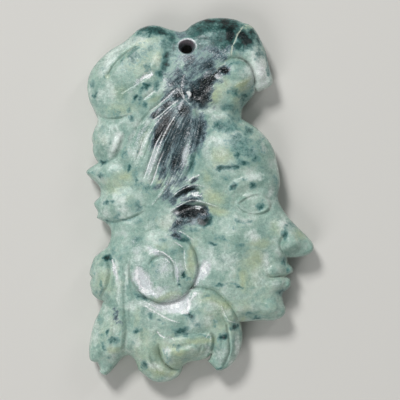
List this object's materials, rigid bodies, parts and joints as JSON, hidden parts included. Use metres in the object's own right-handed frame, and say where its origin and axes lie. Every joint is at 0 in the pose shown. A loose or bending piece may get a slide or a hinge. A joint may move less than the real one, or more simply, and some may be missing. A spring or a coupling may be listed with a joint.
{
  "type": "jade effigy pendant",
  "caption": "Flat-backed jade pendant carved as a head in profile under a bird headdress, with a hole near its top edge to hang it by.",
  "frame": {"origin": "middle of the footprint on the ground, with the pendant lying on its flat back", "axes": "+Z out of the carved front, +Y towards the top of the headdress, +X towards the tip of the nose"},
  "size_m": [0.05, 0.08, 0.0114],
  "materials": {
    "jade": null
  },
  "bodies": {
    "root": {"jade_pendant": "jade"}
  },
  "joints": []
}
